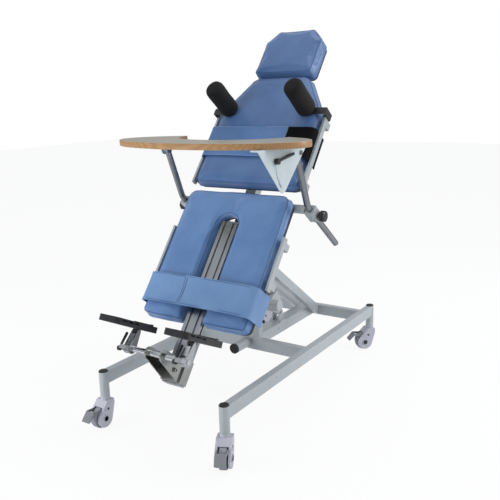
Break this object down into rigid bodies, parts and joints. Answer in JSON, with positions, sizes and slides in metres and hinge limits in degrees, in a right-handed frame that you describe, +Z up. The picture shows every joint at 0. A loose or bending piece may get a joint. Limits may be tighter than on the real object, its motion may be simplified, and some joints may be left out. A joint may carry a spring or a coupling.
{
  "type": "physiotherapy tilt table",
  "caption": "Wheeled tilt table with padded leg, back and head sections, straps, underarm supports, wooden tray, adjustable footplates and an electric tilt drive.",
  "frame": {"origin": "on the floor under the middle of the overall size at rest", "axes": "+Z up, +Y towards the user's head end, +X to the right of a person who stands at the foot end and faces the table"},
  "size_m": [0.8598, 1.41, 1.5517],
  "materials": {
    "frame_paint": "satin",
    "bracket_paint": "gloss",
    "bare_steel": "satin",
    "stainless": "polished",
    "arm_tube": "satin",
    "foot_chrome": "polished",
    "rail_alloy": "satin",
    "clamp_alloy": "satin",
    "bush_plastic": "satin",
    "black_plastic": "satin",
    "drive_plastic": "satin",
    "black_rubber": "matte",
    "blue_vinyl": "satin",
    "blue_webbing": "matte",
    "board_ply": "matte",
    "tray_wood": "satin",
    "black_foam": "matte",
    "castor_grey": "satin",
    "tyre_grey": "satin",
    "pedal_grey": "gloss"
  },
  "bodies": {
    "base": {"side_rails": "frame_paint", "cross_bars": "frame_paint", "centre_rails": "frame_paint", "corner_posts": "frame_paint", "base_caps": "black_rubber", "tower_frames": "frame_paint", "pivot_bushes": "bush_plastic", "stop_tube": "frame_paint", "drive_bracket": "frame_paint"},
    "drive": {"drive_gearbox": "drive_plastic", "drive_motor": "drive_plastic", "drive_guide_tube": "rail_alloy"},
    "piston": {"drive_rod": "stainless"},
    "table": {"main_beam": "frame_paint", "cross_members": "frame_paint", "pivot_ears": "frame_paint", "pivot_shaft": "bare_steel", "leg_board": "board_ply", "back_board": "board_ply", "leg_cushion": "blue_vinyl", "back_cushion": "blue_vinyl", "foot_rail": "rail_alloy", "accessory_rails": "frame_paint", "leg_strap": "blue_webbing", "chest_strap": "blue_webbing", "tray_sockets": "frame_paint"},
    "head": {"head_panel": "board_ply", "head_cushion": "blue_vinyl"},
    "carriage": {"foot_carriage": "stainless", "foot_bar": "foot_chrome"},
    "carriage_handle": {"carriage_lever": "black_plastic"},
    "foot_mount_left": {"foot_bracket_left": "clamp_alloy"},
    "foot_mount_right": {"foot_bracket_right": "clamp_alloy"},
    "foot_left": {"footplate_left": "black_plastic"},
    "foot_right": {"footplate_right": "black_plastic"},
    "foot_handle_left": {"foot_lever_left": "black_plastic"},
    "foot_handle_right": {"foot_lever_right": "black_plastic"},
    "arms": {"tray_arms": "arm_tube"},
    "tray": {"tray_board": "tray_wood", "tray_brackets": "bracket_paint"},
    "tray_handle_right": {"tray_lever_right": "black_plastic"},
    "knob_left": {"socket_knob_left": "black_plastic"},
    "knob_right": {"socket_knob_right": "black_plastic"},
    "support_left": {"support_pad_left": "black_foam", "support_bracket_left": "black_plastic"},
    "support_right": {"support_pad_right": "black_foam", "support_bracket_right": "black_plastic"},
    "castor_body_front_left": {"castor_front_left": "castor_grey"},
    "wheel_body_front_left": {"wheel_front_left": "tyre_grey"},
    "pedal_body_front_left": {"pedal_front_left": "pedal_grey"},
    "castor_body_front_right": {"castor_front_right": "castor_grey"},
    "wheel_body_front_right": {"wheel_front_right": "tyre_grey"},
    "pedal_body_front_right": {"pedal_front_right": "pedal_grey"},
    "castor_body_rear_left": {"castor_rear_left": "castor_grey"},
    "wheel_body_rear_left": {"wheel_rear_left": "tyre_grey"},
    "pedal_body_rear_left": {"pedal_rear_left": "pedal_grey"},
    "castor_body_rear_right": {"castor_rear_right": "castor_grey"},
    "wheel_body_rear_right": {"wheel_rear_right": "tyre_grey"},
    "pedal_body_rear_right": {"pedal_rear_right": "pedal_grey"}
  },
  "joints": [
    {"name": "tilt", "type": "hinge", "parent": "base", "child": "table", "pos_m": [0, -0.0255, 0.664], "axis": [1, 0, 0], "range_deg": [-51.6, 38.4]},
    {"name": "drive_swing", "type": "hinge", "parent": "base", "child": "drive", "pos_m": [0, 0.2645, 0.269], "axis": [1, 0, 0], "range_deg": [-0.62, 0.83]},
    {"name": "drive_stroke", "type": "slide", "parent": "drive", "child": "piston", "axis": [0, -0.4708, 0.8822], "range_m": [-0.056, 0.042]},
    {"name": "head_hinge", "type": "hinge", "parent": "table", "child": "head", "pos_m": [0, 0.39871, 1.3103], "axis": [1, 0, 0], "range_deg": [-30, 0]},
    {"name": "carriage_slide", "type": "slide", "parent": "table", "child": "carriage", "axis": [0, 0.6211, 0.7837], "range_m": [0, 0.075]},
    {"name": "carriage_clamp", "type": "hinge", "parent": "carriage", "child": "carriage_handle", "pos_m": [-0.052, -0.54025, 0.28341], "axis": [1, 0, 0], "range_deg": [0, 60]},
    {"name": "foot_slide_left", "type": "slide", "parent": "carriage", "child": "foot_mount_left", "axis": [1, 0, 0], "range_m": [0, 0.04]},
    {"name": "ankle_left", "type": "hinge", "parent": "foot_mount_left", "child": "foot_left", "pos_m": [-0.133, -0.54955, 0.4069], "axis": [1, 0, 0], "range_deg": [-20, 20]},
    {"name": "foot_clamp_left", "type": "hinge", "parent": "foot_mount_left", "child": "foot_handle_left", "pos_m": [-0.154, -0.62338, 0.36206], "axis": [1, 0, 0], "range_deg": [0, 70]},
    {"name": "foot_slide_right", "type": "slide", "parent": "carriage", "child": "foot_mount_right", "axis": [1, 0, 0], "range_m": [-0.04, 0]},
    {"name": "ankle_right", "type": "hinge", "parent": "foot_mount_right", "child": "foot_right", "pos_m": [0.133, -0.54955, 0.4069], "axis": [1, 0, 0], "range_deg": [-20, 20]},
    {"name": "foot_clamp_right", "type": "hinge", "parent": "foot_mount_right", "child": "foot_handle_right", "pos_m": [0.112, -0.62338, 0.36206], "axis": [1, 0, 0], "range_deg": [0, 70]},
    {"name": "arm_slide", "type": "slide", "parent": "table", "child": "arms", "axis": [0, -0.7837, 0.6211], "range_m": [0, 0.15]},
    {"name": "tray_tilt", "type": "hinge", "parent": "arms", "child": "tray", "pos_m": [0, -0.09784, 1.0531], "axis": [1, 0, 0], "range_deg": [-33, 0]},
    {"name": "arm_clamp_left", "type": "hinge", "parent": "table", "child": "knob_left", "pos_m": [-0.345, 0.04625, 0.78833], "axis": [1, 0, 0], "range_deg": [-180, 180]},
    {"name": "support_slide_left", "type": "slide", "parent": "table", "child": "support_left", "axis": [0, 0.6211, 0.7837], "range_m": [-0.045, 0]},
    {"name": "arm_clamp_right", "type": "hinge", "parent": "table", "child": "knob_right", "pos_m": [0.345, 0.04625, 0.78833], "axis": [1, 0, 0], "range_deg": [-180, 180]},
    {"name": "support_slide_right", "type": "slide", "parent": "table", "child": "support_right", "axis": [0, 0.6211, 0.7837], "range_m": [-0.045, 0]},
    {"name": "tray_clamp_right", "type": "hinge", "parent": "arms", "child": "tray_handle_right", "pos_m": [0.341, -0.27918, 1.03755], "axis": [1, 0, 0], "range_deg": [-75, 0]},
    {"name": "swivel_front_left", "type": "hinge", "parent": "base", "child": "castor_body_front_left", "pos_m": [-0.292, -0.5855, 0.121], "axis": [0, 0, 1], "continuous": true},
    {"name": "roll_front_left", "type": "hinge", "parent": "castor_body_front_left", "child": "wheel_body_front_left", "pos_m": [-0.292, -0.6175, 0.042], "axis": [-1, 0, 0], "continuous": true},
    {"name": "brake_front_left", "type": "hinge", "parent": "castor_body_front_left", "child": "pedal_body_front_left", "pos_m": [-0.292, -0.6175, 0.075], "axis": [-1, 0, 0], "range_deg": [-12, 0]},
    {"name": "swivel_front_right", "type": "hinge", "parent": "base", "child": "castor_body_front_right", "pos_m": [0.292, -0.5855, 0.121], "axis": [0, 0, 1], "continuous": true},
    {"name": "roll_front_right", "type": "hinge", "parent": "castor_body_front_right", "child": "wheel_body_front_right", "pos_m": [0.30527, -0.61462, 0.042], "axis": [-0.91, -0.4147, 0], "continuous": true},
    {"name": "brake_front_right", "type": "hinge", "parent": "castor_body_front_right", "child": "pedal_body_front_right", "pos_m": [0.30527, -0.61462, 0.075], "axis": [-0.91, -0.4147, 0], "range_deg": [-12, 0]},
    {"name": "swivel_rear_left", "type": "hinge", "parent": "base", "child": "castor_body_rear_left", "pos_m": [-0.292, 0.6785, 0.121], "axis": [0, 0, 1], "continuous": true},
    {"name": "roll_rear_left", "type": "hinge", "parent": "castor_body_rear_left", "child": "wheel_body_rear_left", "pos_m": [-0.324, 0.6785, 0.042], "axis": [0, 1, 0], "continuous": true},
    {"name": "brake_rear_left", "type": "hinge", "parent": "castor_body_rear_left", "child": "pedal_body_rear_left", "pos_m": [-0.324, 0.6785, 0.075], "axis": [0, 1, 0], "range_deg": [-12, 0]},
    {"name": "swivel_rear_right", "type": "hinge", "parent": "base", "child": "castor_body_rear_right", "pos_m": [0.292, 0.6785, 0.121], "axis": [0, 0, 1], "continuous": true},
    {"name": "roll_rear_right", "type": "hinge", "parent": "castor_body_rear_right", "child": "wheel_body_rear_right", "pos_m": [0.26906, 0.65619, 0.042], "axis": [-0.6972, 0.7169, 0], "continuous": true},
    {"name": "brake_rear_right", "type": "hinge", "parent": "castor_body_rear_right", "child": "pedal_body_rear_right", "pos_m": [0.26906, 0.65619, 0.075], "axis": [-0.6972, 0.7169, 0], "range_deg": [-12, 0]}
  ],
  "couplings": [
    {"joint": "drive_swing", "follows": "tilt", "ratio": -0.01555},
    {"joint": "drive_stroke", "follows": "tilt", "m_per_rad": 0.061931}
  ]
}
